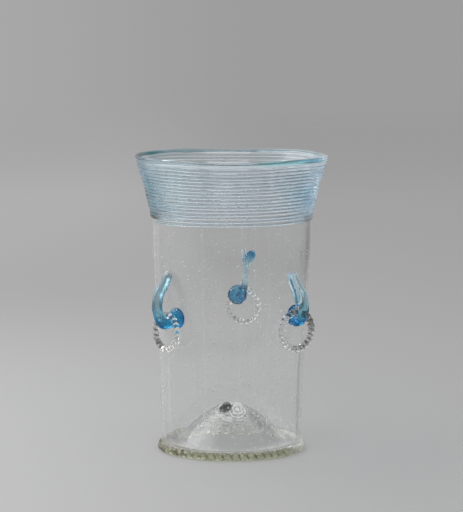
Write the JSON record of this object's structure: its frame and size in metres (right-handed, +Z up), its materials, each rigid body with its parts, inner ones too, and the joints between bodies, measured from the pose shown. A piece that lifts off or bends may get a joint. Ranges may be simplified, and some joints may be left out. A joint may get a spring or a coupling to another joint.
{
  "type": "looped beaker",
  "caption": "Clear glass beaker with a flared collar wound with thread, a notched foot ring, and blue loops on the wall that carry loose ribbed rings.",
  "frame": {"origin": "on the beaker's axis, at the table that the foot stands on", "axes": "+Z up along the axis, towards the rim; -Y is the front, from where one loop shows at the left, one at the right and one through the back; +X is right"},
  "size_m": [0.1048, 0.1051, 0.16],
  "materials": {
    "clear_glass": "polished, seedy",
    "ring_glass": "polished, ribbed",
    "thread_glass": "polished",
    "lip_glass": "polished",
    "loop_glass": "polished, seedy",
    "foot_glass": "polished, notched",
    "wad_glass": "rough where it was broken off"
  },
  "bodies": {
    "beaker": {"blown_body": "clear_glass", "lip_trail": "lip_glass", "rim_thread": "thread_glass", "foot_trail": "foot_glass", "pontil_wad": "wad_glass", "left_loop": "loop_glass", "right_loop": "loop_glass", "back_loop": "loop_glass"},
    "left_ring_body": {"left_ring": "ring_glass"},
    "right_ring_body": {"right_ring": "ring_glass"},
    "back_ring_body": {"back_ring": "ring_glass"}
  },
  "joints": [
    {"name": "left_ring_swing", "type": "hinge", "parent": "beaker", "child": "left_ring_body", "pos_m": [-0.03445, -0.03157, 0.0774], "axis": [-0.6428, 0.766, 0], "range_deg": [-12, 160]},
    {"name": "right_ring_swing", "type": "hinge", "parent": "beaker", "child": "right_ring_body", "pos_m": [0.03455, -0.02961, 0.07875], "axis": [-0.7986, -0.6018, 0], "range_deg": [-7, 160]},
    {"name": "back_ring_swing", "type": "hinge", "parent": "beaker", "child": "back_ring_body", "pos_m": [0.00685, 0.04528, 0.08035], "axis": [0.9781, -0.2079, 0], "range_deg": [-10, 160]}
  ]
}
